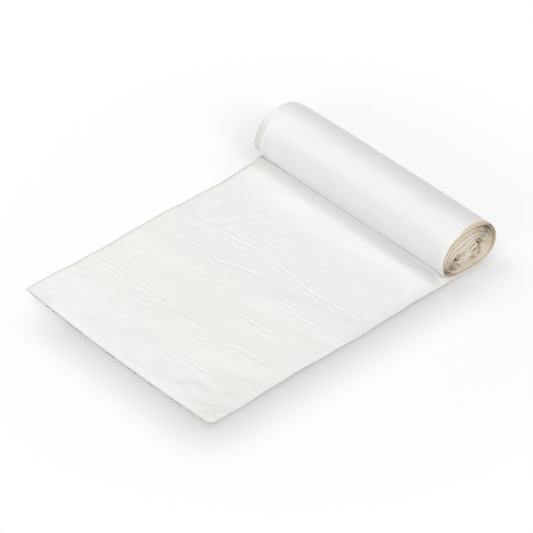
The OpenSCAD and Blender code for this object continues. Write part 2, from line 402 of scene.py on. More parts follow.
def tail_relief(x, y):
    """What creases and wrinkles add to the top of the tail."""
    stray_x = x + STRAY * waves(x, y, *STRAY_WAVES, STRAY_SEEDS[0])
    stray_y = y + STRAY * waves(x, y, *STRAY_WAVES, STRAY_SEEDS[1])
    total = sum(height * waves(x, y, *spec) for height, *spec in CRUMPLES)
    for depth_in, half, points in CREASES:
        total = total + groove(stray_x, stray_y, CREASE_GAIN * depth_in, CREASE_SPREAD * half, points)
    for patch in WRINKLES:
        total = total + wrinkle_patch(x, y, *patch)
    return total


# How the tail's folded edges wander: height, wave length, and the start on either side
EDGE_WAVES = [(0.55, 97.0, 70.0), (0.16, 31.0, 40.0)]


def tail_edge(s, side):
    wave = sum(height * sind(360.0 * s / wave_l + start * side) for height, wave_l, start in EDGE_WAVES)
    return side * WEB_W / 2.0 + wave * ramp(0.0, ROLL_W, s)


def corner_cut(y):
    d = np.maximum(0.0, CORNER_R - (y + WEB_W / 2.0))
    return CORNER_R - np.sqrt(np.maximum(0.0, CORNER_R**2 - d * d))


def rounding(inside, reach_in):
    """Height of a quarter ellipse at a distance inside an edge, from 0 on the edge to 1 at its reach."""
    return np.sqrt(np.clip(1.0 - (1.0 - np.clip(inside / reach_in, 0.0, 1.0)) ** 2, 0.0, 1.0))


# The torn edge: depth of its teeth, their stray places and sizes, and how far and from where the edge bows,
# with the middle and half width of the bow and what it loses towards its ends
TOOTH_D = 0.6
TOOTH_STRAY, TOOTH_SIZES = 0.4, (0.3, 1.2)
TORN_BOW, BOW_L = 3.3, 60.0
BOW_MID, BOW_HALF, BOW_LOSS = 10.0, 82.0, 0.6
# Its share of the thickness and where that starts, and the lower ply that shows beyond the upper one towards
# the near corner
TORN_SHARE, TORN_L = 0.55, 6.0
PLY_STEP, PLY_SLOPE, PLY_T = 1.4, 0.5, 0.35
PLY_SIDE = (-10.0, -40.0)

# The folded edges: how far in they are rounded and their share of the thickness, how far their underside
# lifts and how far in, and how much of the rise before the roll the underside follows at the far edge
FOLD_IN, FOLD_SHARE = 2.0, 0.5
EDGE_LIFT, EDGE_LIFT_IN = 0.24, 1.2
FAR_LIFT, FAR_LIFT_SIDE = 0.85, (66.0, 82.0)
# How far in from the folded and the torn edge swells and relief are whole, where swells start and are whole
# before the roll, and the least thickness
SWELL_IN, SWELL_TORN_IN = 6.0, 3.0
RELIEF_IN, RELIEF_TORN_IN = 1.2, 1.0
SWELL_BY_ROLL = (0.4 * ROLL_W, 0.9 * ROLL_W)
LEAST_T = 0.22


def tail_line(s, y, near, far):
    """Lower and upper points of the tail at distances from the roll's middle and places across."""
    x = -s + ramp(TAIL_L - 2 * ROLL_W, TAIL_L, s) * TEAR_SKEW * (0.5 + y / WEB_W)
    bow = 1.0 - BOW_LOSS * ((y - BOW_MID) / BOW_HALF) ** 2
    x = x - TORN_BOW * ramp(TAIL_L - BOW_L, TAIL_L, s) * bow
    x = x + ramp(TAIL_L - 3 * CORNER_R, TAIL_L, s) * corner_cut(y)
    inside = np.minimum(y - near, far - y)
    torn_in = TAIL_L - s
    thick = PILE_T * mix(FOLD_SHARE, 1.0, rounding(inside, FOLD_IN))
    thick = thick * mix(TORN_SHARE, 1.0, ramp(0.0, TORN_L, torn_in))
    lower_ply = ramp(*PLY_SIDE, y) * ramp(PLY_STEP + PLY_SLOPE, PLY_STEP, torn_in)
    thick = mix(thick, PLY_T, lower_ply)
    calm = rounding(inside, SWELL_IN) * ramp(0.0, SWELL_TORN_IN, torn_in)
    broad = SWELL_H * swell(-x, y) * ramp(*SWELL_BY_ROLL, -x) * calm
    fine = tail_relief(x, y) * rounding(inside, RELIEF_IN) * ramp(0.0, RELIEF_TORN_IN, torn_in)
    lift = rise(x, y)
    low = EDGE_LIFT * (1.0 - np.clip(inside / EDGE_LIFT_IN, 0.0, 1.0)) ** 2
    low = low + FAR_LIFT * lift * ramp(*FAR_LIFT_SIDE, y)
    high = np.maximum(low + LEAST_T, thick + broad + fine + lift)
    return np.stack([x, y, low], -1), np.stack([x, y, high], -1)


# Rows of the web, each a line of points on its outer face and one on its inner face


def places_across(near, far, insets, count, extra=()):
    """Places between two edges: the insets at both, extra ones at the near one, and even ones in between."""
    lower = [near + i for i in [*insets, *extra]]
    upper = [far - i for i in reversed(insets)]
    between = np.linspace(lower[-1], upper[0], count + 2)[1:-1]
    return np.array([*lower, *between, *upper])


def tail_rows():
    teeth = 2 * round(WEB_W / TOOTH_W)
    y = np.linspace(tail_edge(TAIL_L, -1), tail_edge(TAIL_L, 1), teeth + 1)
    y[1:-1] += rng.uniform(-TOOTH_STRAY, TOOTH_STRAY, teeth - 1)
    low, high = tail_line(np.full(y.shape, TAIL_L), y, y[0], y[-1])
    bite = TOOTH_D * (np.arange(teeth + 1) % 2) * rng.uniform(*TOOTH_SIZES, teeth + 1)
    low[:, 0] += bite
    high[:, 0] += bite
    rows = [[low, high]]
    first = TAIL_L - 2.0 * TOOTH_D
    for s in np.linspace(first, 0.0, int(first / TAIL_STEP), endpoint=False):
        near, far = tail_edge(s, -1), tail_edge(s, 1)
        under = places_across(near, far, EDGE_INSETS[:3], HIDDEN_PLACES)
        extra = FOLDED_INSETS if TAIL_L - s < FOLDED_L else CORNER_INSETS
        over = places_across(near, far, EDGE_INSETS, SHOWN_PLACES, extra)
        low = tail_line(np.full(under.shape, s), under, near, far)[0]
        high = tail_line(np.full(over.shape, s), over, near, far)[1]
        rows.append([low, high])
    return rows


# The wound web's near edge: how far in it creeps, over which turns and with which waves, and how much deeper
# the core lies, over which depths
CREEP, CREEP_TURNS = 0.9, (0.1, 1.5)
CREEP_WAVES = [(0.5, 0.43, 0.0), (0.35, 0.27, 50.0)]
CORE_IN, CORE_IN_DEPTHS = 0.9, (0.72, 1.0)
# Its far edge: how far the outer turn stands out and over which turns, the turns over which the rim's step
# comes, and the edge's own creep
STAND_OUT, STAND_OUT_FROM, STAND_OUT_TO = 2.2, (0.1, 0.45), (0.98, 0.85)
RIM_TURNS = (0.85, 1.2)
FAR_CREEP, FAR_CREEP_PITCH, FAR_CREEP_TURNS = 0.3, 0.61, (0.2, 1.2)


def near_edge(a):
    """The near edge of the web creeps a little as it winds, and the core's lies deeper."""
    turn = (a - START) / 360.0
    creep = CREEP + sum(height * sind(a * pitch + start) for height, pitch, start in CREEP_WAVES)
    return -WEB_W / 2.0 + creep * ramp(*CREEP_TURNS, turn) + CORE_IN * ramp(*CORE_IN_DEPTHS, depth(a))


def far_edge(a):
    """The far edge stands out in the outer turn, and lies deeper by the rim's step in the turns inside it."""
    turn = (a - START) / 360.0
    stand_out = STAND_OUT * ramp(*STAND_OUT_FROM, turn) * ramp(*STAND_OUT_TO, turn)
    creep = FAR_CREEP * (1.0 + sind(a * FAR_CREEP_PITCH)) * ramp(*FAR_CREEP_TURNS, turn)
    return WEB_W / 2.0 + stand_out - FAR_RIM * ramp(*RIM_TURNS, turn) - creep


# Dents and streaks in the outer turn, over its length: height, number of waves, their lengths along and
# across it, and the seed, then the angles from its start over which they come and go
OUTER_L = 125.0
SKIN_WAVES = [(0.3, 9, 30.0, 90.0, 5), (0.07, 12, 8.0, 30.0, 6)]
SKIN_FROM, SKIN_TO = (25.0, 70.0), (352.0, 315.0)


def skin_waves(a, y):
    """Soft long dents and streaks in the outer turn, always outwards so that it clears the next one."""
    place = a - START
    s = place / 360.0 * OUTER_L
    total = sum(height * (0.5 + 0.5 * waves(s, y, *spec)) for height, *spec in SKIN_WAVES)
    return np.maximum(0.0, total) * ramp(*SKIN_FROM, place) * ramp(*SKIN_TO, place)


# The bent far end: its least share and the angles over which the rest comes and goes, the lip's depth and how
# far in it starts, the bend's two ends and the low ridge before it, as places in from the end
CURL_LEAST, CURL_FROM, CURL_TO = 0.15, (195.0, 250.0), (358.0, 315.0)
LIP_D, LIP_IN = 0.42, FAR_RIM + 0.6
BEND_FROM, BEND_TO = 7.0, 2.0
RIDGE_H, RIDGE_AT, RIDGE_HALF = 0.3, 8.5, 2.2


def far_curl(a, y):
    """How far the turns bend in at their far end: most on the left, behind a low ridge, less further in."""
    place = np.mod(a - START, 360.0)
    left = mix(CURL_LEAST, 1.0, ramp(*CURL_FROM, place) * ramp(*CURL_TO, place))
    end = WEB_W / 2.0
    lip = LIP_D * ramp(end - LIP_IN, end, y)
    bend = ramp(end - BEND_FROM, end - BEND_TO, y) - RIDGE_H * bump(y, end - RIDGE_AT, RIDGE_HALF)
    return (lip + left * bend) * (1.0 - depth(a))


# How much thinner the film is at the edges of a turn
EDGE_PINCH = 0.3


def turn_row(a, insets, counts, outer):
    """One row across the winding, its outer and its inner face, thinner at the two edges."""
    near, far = float(near_edge(a)), float(far_edge(a))
    thick = float(web_thickness(a))
    row = []
    for face, count in enumerate(counts):
        y = places_across(near, far, insets, count)
        angle = np.full(y.shape, a)
        fold = rounding(np.minimum(y - near, far - y), insets[-1])
        pinch = EDGE_PINCH * thick * (1.0 - fold)
        under = (pinch if face == 0 else thick - pinch) + far_curl(angle, y)
        if outer:
            under = under - skin_waves(angle, y) * fold
        x, z = roll_points(angle, y, under)
        row.append(crush(np.stack([x, y, z], 1)))
    return row


def turn_rows(first, steps, insets, counts, outer=False):
    angles = first + KINK + (360.0 - 2.0 * KINK) * np.arange(steps + 1) / steps
    return [turn_row(np.float64(a), insets, counts, outer) for a in angles]


# The innermost leg: its first step clear of the last turn, how far in its edges lie, the near one's waves by
# height and pitch, and its share of the thickness at the edges
LEG_FIRST = 3
LEG_NEAR_IN, LEG_FAR_IN = 0.6, 0.8
LEG_WAVES = [(0.4, 0.5), (0.2, 1.3)]
LEG_EDGE = 0.55


def leg_rows(last):
    """Rows of the innermost leg, which carries on from the last turn."""
    start = (last[0][0] + last[1][0])[[0, 2]] / 2.0
    line = smooth_line([(*start, LEG[0][2]), *LEG], LEG_STEPS)
    ahead = np.gradient(line[:, :2], axis=0)
    ahead = ahead / np.linalg.norm(ahead, axis=1)[:, None]
    rows = []
    for i in range(LEG_FIRST, len(line)):
        near = -WEB_W / 2.0 + LEG_NEAR_IN + sum(height * math.sin(pitch * i) for height, pitch in LEG_WAVES)
        far = WEB_W / 2.0 - FAR_RIM - LEG_FAR_IN
        y = places_across(near, far, FINE_INSETS, FINE_PLACES)
        size = 1.0 - FAR_TAPER * (0.5 + y / WEB_W)
        fold = rounding(np.minimum(y - near, far - y), FINE_INSETS[-1])
        half = 0.5 * line[i][2] * mix(LEG_EDGE, 1.0, fold)
        out = np.array([ahead[i][1], -ahead[i][0]])
        row = []
        for side in (1.0, -1.0):
            x = (line[i][0] + side * half * out[0]) * size
            z = (line[i][1] + side * half * out[1]) * size
            row.append(np.stack([x, y, z], 1))
        rows.append(row)
    return rows


# Skin over the rows


def zip_lines(a, one, b, other):
    """Faces between two lines of points that start at a and b, matched by their places across the web."""
    m, n = len(one) - 1, len(other) - 1
    if m == n:
        return [(a + j, a + j + 1, b + j + 1, b + j) for j in range(m)]
    one, other = one[:, 1], other[:, 1]
    faces, i, j = [], 0, 0
    while i < m or j < n:
        if j == n or (i < m and one[i + 1] <= other[j + 1]):
            faces.append((a + i, a + i + 1, b + j))
            i += 1
        else:
            faces.append((a + i, b + j + 1, b + j))
            j += 1
    return faces


def flipped(faces):
    return [tuple(reversed(face)) for face in faces]


def skin(rows):
    lines = [line for row in rows for line in row]
    starts = np.cumsum([0] + [len(line) for line in lines]).tolist()
    ends = [after - 1 for after in starts[1:]]

    def between(i, j):
        return zip_lines(starts[i], lines[i], starts[j], lines[j])

    faces = flipped(between(0, 1))
    for i in range(0, len(lines) - 2, 2):
        faces += between(i, i + 2)
        faces += flipped(between(i + 1, i + 3))
        faces.append((starts[i], starts[i + 2], starts[i + 3], starts[i + 1]))
        faces.append((ends[i], ends[i + 1], ends[i + 3], ends[i + 2]))
    faces += between(len(lines) - 2, len(lines) - 1)
    return np.concatenate(lines), faces


def new_object(name, points, faces, material):
    mesh = bpy.data.meshes.new(name)
    mesh.from_pydata((points * MM).tolist(), [], faces)
    mesh.polygons.foreach_set("use_smooth", [True] * len(mesh.polygons))
    mesh.update()
    obj = bpy.data.objects.new(name, mesh)
    bpy.context.scene.collection.objects.link(obj)
    mesh.materials.append(material)
    return obj


# Materials


def add_node(tree, kind, inputs=None, **settings):
    """A new node with its settings and inputs, where an input is a value or another node's output."""
    node = tree.nodes.new(kind)
    for name, value in settings.items():
        setattr(node, name, value)
    for name, value in (inputs or {}).items():
        if isinstance(value, bpy.types.NodeSocket):
            tree.links.new(value, node.inputs[name])
        else:
            node.inputs[name].default_value = value
    return node


def maths(tree, operation, *values):
    return add_node(tree, "ShaderNodeMath", dict(enumerate(values)), operation=operation).outputs[0]


def blended(tree, share, one, other):
    """A colour between two, the first where the share is 0."""
    node = add_node(tree, "ShaderNodeMix", {"Factor": share, "A": one, "B": other}, data_type="RGBA")
    return node.outputs["Result"]


# The film's colours: two on the tail, one on the outer turn, and those that point values paint over them
# Of these, the white is painted light, and the brown and the grey are painted shade
WARM = (0.888, 0.876, 0.846, 1.0)
COOL = (0.877, 0.875, 0.869, 1.0)
WOUND = (0.867, 0.858, 0.853, 1.0)
LIGHT_PAINT = (0.955, 0.952, 0.946, 1.0)
CREAM = (0.895, 0.825, 0.705, 1.0)
SHADE_BROWN = (0.50, 0.37, 0.21, 1.0)
SHADE_GREY = (0.655, 0.655, 0.645, 1.0)
# The point values in the order in which they paint
PAINTS = [("wound", WOUND), ("painted_light", LIGHT_PAINT), ("rim", CREAM), ("deep_shade", SHADE_BROWN), ("painted_shade", SHADE_GREY)]


# How much the patches count against the cool field, and where in their sum the film is all warm and all cool
PATCH_SHARE, WARM_TO, COOL_FROM = 1.6, 0.9, 1.7


def film_material():
    """Milky film: cool and warm fields, the paints over them with painted light and shade among them, and
    fine wrinkles.
    """
    mat = bpy.data.materials.new("film")
    mat.use_nodes = True
    tree = mat.node_tree
    bsdf = tree.nodes["Principled BSDF"]
    place = add_node(tree, "ShaderNodeTexCoord").outputs["Object"]

    patches = add_node(tree, "ShaderNodeTexNoise", {"Vector": place, "Scale": 30.0, "Detail": 4.0})
    cool = add_node(tree, "ShaderNodeAttribute", attribute_name="cool")
    blend = maths(tree, "MULTIPLY_ADD", patches.outputs["Fac"], PATCH_SHARE, cool.outputs["Fac"])
    limits = {"Value": blend, "From Min": WARM_TO, "From Max": COOL_FROM}
    cooler = add_node(tree, "ShaderNodeMapRange", limits)
    colour = blended(tree, cooler.outputs[0], WARM, COOL)
    for name, paint in PAINTS:
        share = add_node(tree, "ShaderNodeAttribute", attribute_name=name).outputs["Fac"]
        colour = blended(tree, share, colour, paint)
    tree.links.new(colour, bsdf.inputs["Base Color"])

    stretch = add_node(tree, "ShaderNodeMapping", {"Vector": place, "Scale": (330.0, 130.0, 330.0)})
    wrinkle = add_node(
        tree, "ShaderNodeTexNoise",
        {"Vector": stretch.outputs[0], "Scale": 1.0, "Detail": 3.0, "Distortion": 0.8},
    )
    relief = add_node(
        tree, "ShaderNodeBump", {"Height": wrinkle.outputs["Fac"], "Strength": 0.25, "Distance": 0.00025}
    )
    tree.links.new(relief.outputs["Normal"], bsdf.inputs["Normal"])

    bsdf.inputs["Roughness"].default_value = 0.34
    bsdf.inputs["IOR"].default_value = 1.5
    bsdf.inputs["Subsurface Weight"].default_value = 0.3
    bsdf.inputs["Subsurface Radius"].default_value = (0.0014, 0.0013, 0.0011)
    bsdf.inputs["Subsurface Scale"].default_value = 1.0
    return mat


def soft_box(tree, place, low_x, high_x, low_y, high_y):
    """1 inside a box on the floor, falling smoothly to 0: each side is the pair where it starts and ends."""
    parts = add_node(tree, "ShaderNodeSeparateXYZ", {"Vector": place})
    total = 1.0
    for axis, (outside, inside) in (("X", low_x), ("X", high_x), ("Y", low_y), ("Y", high_y)):
        side = add_node(
            tree, "ShaderNodeMapRange",
            {"Value": parts.outputs[axis], "From Min": outside * MM, "From Max": inside * MM},
            interpolation_type="SMOOTHSTEP",
        )
        total = maths(tree, "MULTIPLY", side.outputs[0], total)
    return total


# The soft shadow painted on the table: its sides' starts and ends round the tail, the roll and close to the
# tail, how deep the wide and the close one are, and the roll's share
TAIL_SHADE = ((-246.0, -195.0), (12.0, -36.0), (-120.0, -70.0), (80.0, 30.0))
ROLL_SHADE = ((-58.0, -8.0), (40.0, 0.0), (-106.0, -74.0), (118.0, 68.0))
CLOSE_SHADE = ((-214.0, -205.0), (24.0, 4.0), (-87.5, -81.5), (81.0, 70.0))
WIDE_DEPTH, CLOSE_DEPTH, ROLL_SHARE = 0.35, 0.16, 0.5
# The object's middle in metres, the table's glow there, and how far off the table starts to be and is white
MIDDLE = (-0.09, 0.0, 0.0)
FLOOR_GLOW = 0.5
WHITE_FROM, WHITE_TO = 0.155, 0.25


def floor_material():
    """Pale matt table with a soft shadow painted round the object. The camera sees it as plain white away
    from the object, and near it the table keeps both its painted and its real shade.
    """
    mat = bpy.data.materials.new("floor")
    mat.use_nodes = True
    tree = mat.node_tree
    bsdf = tree.nodes["Principled BSDF"]
    place = add_node(tree, "ShaderNodeTexCoord").outputs["Object"]
    # A soft shadow painted into the table's colour round the tail and the roll
    tail_shade, roll_shade = soft_box(tree, place, *TAIL_SHADE), soft_box(tree, place, *ROLL_SHADE)
    wide = maths(tree, "MAXIMUM", tail_shade, maths(tree, "MULTIPLY", roll_shade, ROLL_SHARE))
    light = 1.0
    for shade, strength in ((wide, WIDE_DEPTH), (soft_box(tree, place, *CLOSE_SHADE), CLOSE_DEPTH)):
        light = maths(tree, "MULTIPLY", maths(tree, "MULTIPLY_ADD", shade, -strength, 1.0), light)
    grey = add_node(tree, "ShaderNodeCombineColor", {"Red": light, "Green": light, "Blue": light})
    colour = grey.outputs[0]
    tree.links.new(colour, bsdf.inputs["Base Color"])
    bsdf.inputs["Roughness"].default_value = 0.9
    bsdf.inputs["Specular IOR Level"].default_value = 0.0

    glow = add_node(tree, "ShaderNodeEmission", {"Color": colour, "Strength": 1.0})
    away = add_node(tree, "ShaderNodeVectorMath", {0: place, 1: MIDDLE}, operation="SUBTRACT")
    far = add_node(tree, "ShaderNodeVectorMath", {0: away.outputs[0]}, operation="LENGTH").outputs["Value"]
    share = add_node(
        tree, "ShaderNodeMapRange",
        {"Value": far, "From Min": WHITE_FROM, "From Max": WHITE_TO, "To Min": FLOOR_GLOW, "To Max": 1.0},
        interpolation_type="SMOOTHSTEP",
    )
    seen = add_node(tree, "ShaderNodeLightPath").outputs["Is Camera Ray"]
    part = maths(tree, "MULTIPLY", share.outputs[0], seen)
    both = add_node(tree, "ShaderNodeMixShader", {0: part, 1: bsdf.outputs[0], 2: glow.outputs[0]})
    tree.links.new(both.outputs[0], tree.nodes["Material Output"].inputs["Surface"])
    return mat


# The web


# The cool field's left border: its place, slant, wavy height and pitch, and half its blur
BORDER_X, BORDER_SLANT, BORDER_WAVE, BORDER_PITCH, BORDER_BLUR = -108.0, 0.02, 2.0, 1.0 / 9.0, 7.0
# Smooth boxes on the tail: a share, then the ramps that bound it, each with where it starts and is whole.
# They lie along x and y, and in from the near edge
COOL_BY_ROLL = [(1.0, ("x", -14.0, -34.0), ("y", 84.0, 62.0))]
COOL_TORN_END = [(1.0, ("x", -174.0, -190.0), ("y", -70.0, -50.0))]


def field(places, boxes):
    """The strongest share among smooth boxes at the places."""
    total = 0.0
    for share, *sides in boxes:
        for axis, start, whole in sides:
            share = share * ramp(start, whole, places[axis])
        total = np.maximum(total, share)
    return total


def cool_field(points):
    """Where the tail's film looks a little cooler: a strip at the torn end and the part next to the roll."""
    places = {"x": points[:, 0], "y": points[:, 1]}
    wave = BORDER_WAVE * np.sin(BORDER_PITCH * places["y"])
    border = BORDER_X + BORDER_SLANT * places["y"] + wave
    inside = ramp(border - BORDER_BLUR, border + BORDER_BLUR, places["x"])
    return np.maximum(inside * field(places, COOL_BY_ROLL), field(places, COOL_TORN_END))


def point_values(mesh, name, values):
    mesh.attributes.new(name, "FLOAT", "POINT").data.foreach_set("value", values.astype(np.float32))


STROKE_WHOLE = 0.3


def strokes(x, z, lines):
    """The strongest share among soft strokes: half width, share, then points that each runs through."""
    total = np.zeros(np.broadcast(x, z).shape)
    for half, share, points in lines:
        for (px, pz), (qx, qz) in zip(points, points[1:]):
            span = math.dist((px, pz), (qx, qz))
            ux, uz = (qx - px) / span, (qz - pz) / span
            t = np.clip((x - px) * ux + (z - pz) * uz, 0.0, span)
            out = np.hypot(x - px - ux * t, z - pz - uz * t) / half
            total = np.maximum(total, share * ramp(1.0, STROKE_WHOLE, out))
    return total


# Strokes on the roll's near end, in x and height: brown painted shade where the eye looks deep between the
# layers, and a painted highlight where a layer catches the light
SHADE_STROKES = [
    (0.6, 0.7, [(2.5, 30.6), (7.3, 28.8), (10.9, 27.3)]),
    (0.9, 0.75, [(10.9, 27.3), (14.5, 25.2), (17.5, 22.5), (19.2, 19.7)]),
    (0.8, 0.8, [(19.2, 19.7), (20.2, 17.0), (20.4, 14.0)]),
    (0.7, 0.65, [(2.5, 28.8), (7.3, 26.7), (10.9, 24.6), (14.5, 22.5), (16.6, 20.1), (17.0, 17.5)]),
    (0.6, 0.5, [(3.1, 26.7), (7.3, 24.3), (10.9, 21.6), (13.9, 18.9)]),
    (0.6, 0.4, [(2.5, 24.6), (7.3, 21.6), (12.1, 17.1)]),
    (0.6, 0.45, [(15.7, 20.7), (18.2, 16.5), (18.5, 11.7)]),
    (0.9, 0.8, [(5.2, 19.2), (8.4, 17.6), (10.8, 16.2), (12.4, 15.4)]),
    (0.9, 0.95, [(8.1, 16.6), (9.3, 14.2), (9.6, 12.2)]),
    (1.4, 0.9, [(8.2, 11.8), (9.3, 10.6), (9.1, 8.2)]),
    (2.2, 0.25, [(13.6, 15.4), (17.0, 12.0)]),
    (1.2, 0.95, [(3.6, 8.9), (5.2, 7.4)]),
    (1.0, 1.0, [(-8.1, 15.3), (-7.6, 13.8)]),
    (0.9, 0.7, [(-14.0, 13.6), (-11.0, 13.7), (-8.5, 14.0)]),
    (0.7, 0.8, [(-5.0, 14.6), (-4.2, 14.4)]),
    (0.9, 1.0, [(-9.8, 10.2), (-8.4, 9.0), (-7.7, 7.9)]),
    (2.4, 0.5, [(-16.0, 11.0), (-13.6, 8.6), (-10.6, 7.2)]),
    (1.0, 0.85, [(-19.2, 15.8), (-19.1, 11.8), (-18.1, 8.7), (-15.9, 6.1), (-13.2, 4.1), (-10.4, 2.9)]),
    (0.7, 0.7, [(-16.9, 15.6), (-16.5, 12.4), (-14.9, 9.3), (-12.4, 7.2), (-9.6, 6.0)]),
    (0.7, 0.75, [(3.7, 3.9), (5.5, 3.2), (7.9, 2.6)]),
    (0.6, 0.45, [(-9.5, 2.3), (-3.5, 1.9), (1.9, 3.0)]),
    (2.6, 0.5, [(21.0, 21.0), (22.4, 14.0), (20.0, 7.0)]),
]
HIGHLIGHT_STROKES = [
    (1.2, 0.4, [(-6.8, 15.2), (-3.2, 14.6), (-0.8, 15.2), (1.0, 16.9), (3.4, 19.2), (5.4, 20.2)]),
    (1.4, 0.6, [(-9.4, 8.8), (-6.4, 10.0), (-3.0, 11.4), (0.4, 12.8)]),
    (0.7, 0.6, [(-17.5, 14.5), (-17.2, 11.4), (-16.0, 8.8), (-13.8, 6.6), (-10.8, 5.1), (-6.0, 3.9)]),
    (1.2, 0.5, [(-20.6, 14.0), (-20.4, 9.0), (-18.0, 5.2), (-14.0, 2.6), (-6.0, 0.8), (2.0, 1.2)]),
]


# Smooth boxes of the tail's painted light, painted shade and cream tint
TAIL_PALE = [(0.3, ("x", -140.0, -200.0), ("y", -30.0, 50.0))]
TAIL_GREY = [
    (0.26, ("x", -140.0, -195.0), ("y", -30.0, -76.0)),
    (0.3, ("x", -196.0, -206.0), ("y", 55.0, 68.0)),
    (0.16, ("near", 8.0, 2.0), ("x", -120.0, -90.0)),
]
TAIL_CREAM = [
    (0.15, ("x", -36.0, -24.0), ("y", 68.0, 80.0)),
    (0.25, ("x", -36.0, -24.0), ("y", -72.0, -80.0)),
    (1.0, ("x", -24.0, -15.0), ("near", 2.6, 0.6)),
]
TAIL_BROWN = [(0.16, ("x", -36.0, -24.0), ("y", 70.0, 80.0))]
# Painted light before the roll, in two steps: a share, and where along x it starts and is whole
PALE_STEPS = [(0.15, -52.0, -36.0), (0.85, -23.0, -20.0)]
# Painted shade in a band before the roll: its share far and near, where along y that changes, and its box
NIP_GREYS, NIP_GREY_SIDE = (0.52, 0.76), (0.0, -60.0)
NIP_BAND = [(1.0, ("x", -29.5, -22.5), ("x", -19.0, -21.4), ("y", -83.0, -76.0))]
# Painted shade in a spot in the middle: its share, and its middle and half width along x and y
SPOT_GREY, SPOT_X, SPOT_Y = 0.1, (-160.0, 40.0), (12.0, 28.0)
# Painted shade along the far edge: its share away from the roll, where along x it grows to 1, and how far in
# it reaches
EDGE_GREY, EDGE_GREY_X, EDGE_GREY_IN = 0.6, (-75.0, -35.0), (2.6, 0.8)
# Tinted teeth towards the near corner: where along y, their mean share, its wave and that wave's pitch, and
# how much of it is cream and brown painted shade. The other teeth are grey painted shade by the last share
TINT_SIDE, TINT_MEAN, TINT_WAVE, TINT_PITCH = (-52.0, -66.0), 0.6, 0.4, 2.6
TINT_CREAM, TINT_BROWN, TORN_GREY = 0.8, 0.6, 0.6


def tail_shares(line, face, torn):
    """Paint shares along a line of the tail: painted light before the roll and towards the torn end, painted
    shade in patches, before the roll and at its edges, and tinted teeth.
    """
    x, y = line[:, 0], line[:, 1]
    places = {"x": x, "y": y, "near": y - y[0]}
    # Painted light before the roll, and painted shade along the far edge, in a spot, in patches and in a band
    # before the roll
    by_roll = sum(share * ramp(start, whole, x) for share, start, whole in PALE_STEPS)
    edge = mix(EDGE_GREY, 1.0, ramp(*EDGE_GREY_X, x)) * ramp(*EDGE_GREY_IN, y[-1] - y)
    spot_out = ((x - SPOT_X[0]) / SPOT_X[1]) ** 2 + ((y - SPOT_Y[0]) / SPOT_Y[1]) ** 2
    nip = mix(*NIP_GREYS, ramp(*NIP_GREY_SIDE, y)) * field(places, NIP_BAND)
    shaded = np.maximum(np.maximum(field(places, TAIL_GREY), SPOT_GREY * np.exp(-spot_out)), nip)
    tooth_tint = torn * ramp(*TINT_SIDE, y) * (TINT_MEAN + TINT_WAVE * np.sin(TINT_PITCH * y))
    return {
        "wound": np.zeros(len(x)),
        "painted_light": np.maximum(by_roll, field(places, TAIL_PALE)),
        "rim": np.maximum(TINT_CREAM * tooth_tint, field(places, TAIL_CREAM)),
        "deep_shade": np.maximum(TINT_BROWN * tooth_tint, field(places, TAIL_BROWN)),
        "painted_shade": TORN_GREY * torn * (1.0 - tooth_tint) + (1.0 - torn) * np.maximum(edge, shaded) * face,
    }


# Spans round the outer turn, as angles from its start: where each starts and is whole, and where it starts to
# fade and ends, if it does
UNDER, TOP, BACK = (285.0, 335.0), (112.0, 130.0, 175.0, 205.0), (90.0, 110.0, 145.0, 165.0)
LEFT, SIDE = (175.0, 205.0, 310.0, 330.0), (178.0, 215.0, 240.0, 290.0)
FAR_LEFT, FLANK, LOW = (195.0, 235.0), (225.0, 262.0), (266.0, 284.0)
# Streaks along its edges, cream or of brown and grey painted shade: a share, and how far in from the edge it
# starts and is whole
TOP_CREAM, TOP_BROWN = (1.0, 2.4, 0.8), (0.7, 1.7, 0.4)
LEFT_CREAM, LEFT_BROWN = (0.35, 0.8, 0.2), (0.4, 0.6, 0.0)
FAR_DUSK, FAR_BROWN, FAR_BROWN_LEAST = (0.1, 6.0, 4.5), (1.0, 1.9, 0.8), 0.35
FAR_GREY = (1.0, 6.5, 5.0)
# Ridges with painted highlights and a hollow with painted shade: how far in from the edge and their half
# width, and the shares, the last also that of the painted shade on the back
FAR_RIDGE, NEAR_RIDGE, FAR_HOLLOW = (7.2, 1.3), (1.7, 1.2), (11.0, 5.0)
RIDGE_PALE, NEAR_RIDGE_SHARE, OUTER_GREY = 0.8, 0.8, 0.3


def arc(place, start, whole, fade=None, end=None):
    share = float(ramp(start, whole, place))
    return share if end is None else share * float(ramp(end, fade, place))


def streak(inside, share, start, whole):
    return share * ramp(start, whole, inside)


def outer_shares(line, a):
    """Paint shares on the outer turn's outer face: painted light underneath and painted highlights on two
    ridges, cream at its edges with brown painted shade, and grey painted shade on its back and by the far
    end.
    """
    y = line[:, 1]
    near, far = y - y[0], y[-1] - y
    place = a - START
    top, left, far_left = arc(place, *TOP), arc(place, *LEFT), arc(place, *FAR_LEFT)
    # Painted highlights on two ridges, painted light underneath, and brown and grey painted shade at the
    # edges, on the back and by the far end
    near_ridge = NEAR_RIDGE_SHARE * arc(place, *SIDE) * bump(near, *NEAR_RIDGE)
    ridges = RIDGE_PALE * np.maximum(far_left * bump(far, *FAR_RIDGE), near_ridge)
    near_brown = top * streak(near, *TOP_BROWN) + left * streak(near, *LEFT_BROWN)
    far_brown = mix(FAR_BROWN_LEAST, 1.0, arc(place, *LOW)) * streak(far, *FAR_BROWN)
    far_grey = np.maximum(streak(far, *FAR_GREY), arc(place, *FLANK) * bump(far, *FAR_HOLLOW))
    return {
        "wound": np.ones(len(y)),
        "painted_light": np.maximum(arc(place, *UNDER), ridges),
        "rim": np.maximum(top * streak(near, *TOP_CREAM), left * streak(near, *LEFT_CREAM)),
        "deep_shade": np.maximum(near_brown, far_left * (streak(far, *FAR_DUSK) + far_brown)),
        "painted_shade": OUTER_GREY * np.maximum(arc(place, *BACK), far_left * far_grey),
    }


